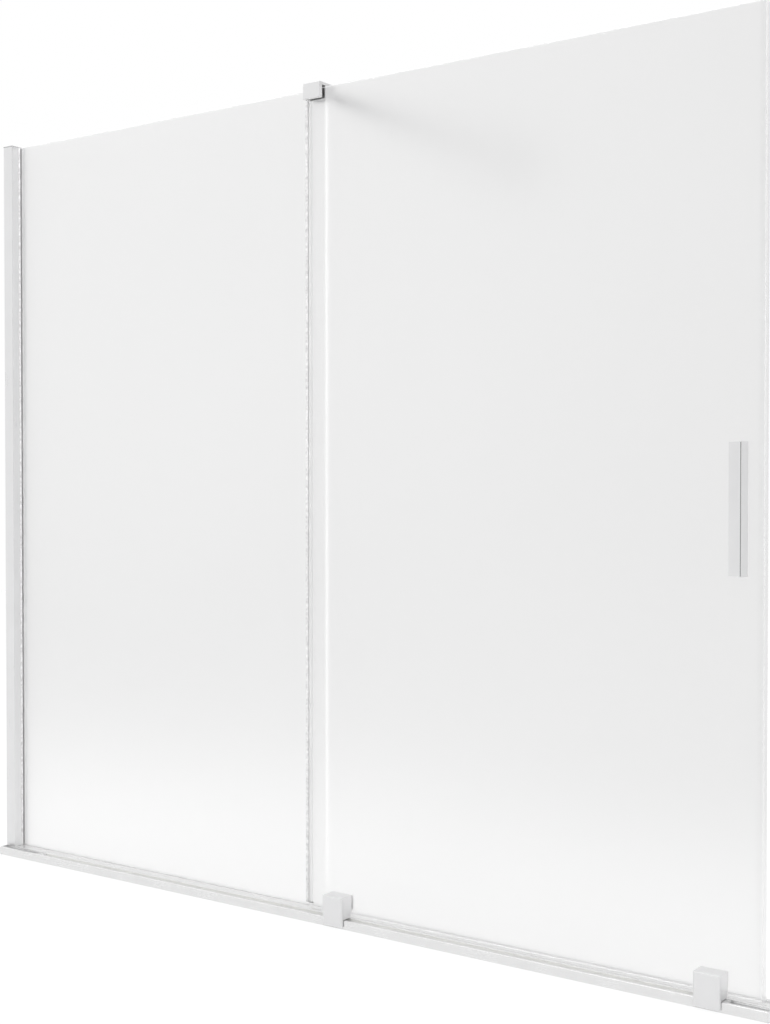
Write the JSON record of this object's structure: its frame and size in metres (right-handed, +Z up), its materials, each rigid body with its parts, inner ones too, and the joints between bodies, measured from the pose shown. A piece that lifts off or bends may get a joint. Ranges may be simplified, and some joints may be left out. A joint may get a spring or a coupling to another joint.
{
  "type": "sliding bath screen",
  "caption": "Semi-frameless sliding bath screen: a fixed satin glass pane in a wall profile, and a pane that rolls in front of it along a low rail, held at the top by a guide and a wall arm.",
  "frame": {"origin": "on the rail's underside, halfway along its length, on the middle plane of the fixed glass", "axes": "+X along the rail away from the wall profile, +Y towards the wall behind the bath, +Z up"},
  "size_m": [1.7, 0.75, 1.517],
  "materials": {
    "polished_aluminium": "bright polished",
    "mill_aluminium": "mill",
    "chrome": "satin chrome plate",
    "satin_glass": "satin, etched",
    "clear_seal": "soft translucent vinyl",
    "dark_rubber": "matt",
    "grey_plastic": "moulded, fine grain",
    "white_nylon": "moulded nylon",
    "dark_nylon": "moulded nylon",
    "steel": "turned stainless steel"
  },
  "bodies": {
    "screen_frame": {"bottom_rail": "polished_aluminium", "rail_end_cap_left": "polished_aluminium", "rail_end_cap_right": "polished_aluminium", "base_gasket": "clear_seal", "groove_filler": "grey_plastic", "fixed_glass": "satin_glass", "wall_channel": "mill_aluminium", "cover_profile_front": "polished_aluminium", "cover_profile_back": "polished_aluminium", "glazing_gasket_front": "dark_rubber", "glazing_gasket_back": "dark_rubber", "profile_cap": "grey_plastic", "lock_screws": "steel", "lock_screw_caps": "grey_plastic", "guide_bracket": "chrome", "guide_liner": "dark_nylon", "clamp_pad_front": "dark_rubber", "clamp_pad_back": "dark_rubber", "clamp_grub_screws": "steel", "support_arm": "chrome", "arm_socket": "chrome", "arm_bracket_screw": "steel", "arm_socket_screw": "steel", "track_stop_left": "dark_nylon", "track_stop_right": "dark_nylon", "stop_buffer_left": "dark_rubber", "stop_buffer_right": "dark_rubber"},
    "sliding_panel": {"sliding_glass": "satin_glass", "trailing_seal": "clear_seal", "closing_seal": "clear_seal", "closing_foot": "clear_seal", "bottom_wiper": "clear_seal", "handle": "chrome", "handle_back_plate": "chrome", "handle_pad_front": "clear_seal", "handle_pad_back": "clear_seal", "handle_screws": "steel", "handle_bushes": "white_nylon", "carriage_cover_left": "chrome", "carriage_housing_left": "chrome", "carriage_pad_front_left": "clear_seal", "carriage_pad_back_left": "clear_seal", "carriage_clamp_plate_left": "chrome", "carriage_screws_left": "steel", "carriage_bushes_left": "white_nylon", "axle_left": "steel", "axle_spacers_left": "white_nylon", "carriage_cover_right": "chrome", "carriage_housing_right": "chrome", "carriage_pad_front_right": "clear_seal", "carriage_pad_back_right": "clear_seal", "carriage_clamp_plate_right": "chrome", "carriage_screws_right": "steel", "carriage_bushes_right": "white_nylon", "axle_right": "steel", "axle_spacers_right": "white_nylon"},
    "wheel_left": {"wheel_bearing_left": "steel", "wheel_tyre_left": "white_nylon"},
    "wheel_right": {"wheel_bearing_right": "steel", "wheel_tyre_right": "white_nylon"}
  },
  "joints": [
    {"name": "panel_slide", "type": "slide", "parent": "screen_frame", "child": "sliding_panel", "axis": [-1, 0, 0], "range_m": [0, 0.76]},
    {"name": "wheel_left_spin", "type": "hinge", "parent": "sliding_panel", "child": "wheel_left", "pos_m": [0.0485, -0.031, 0.0233], "axis": [0, -1, 0], "range_deg": [0, 3960]},
    {"name": "wheel_right_spin", "type": "hinge", "parent": "sliding_panel", "child": "wheel_right", "pos_m": [0.7545, -0.031, 0.0233], "axis": [0, -1, 0], "range_deg": [0, 3960]}
  ],
  "couplings": [
    {"joint": "wheel_left_spin", "follows": "panel_slide", "rad_per_m": 90.909},
    {"joint": "wheel_right_spin", "follows": "panel_slide", "rad_per_m": 90.909}
  ]
}
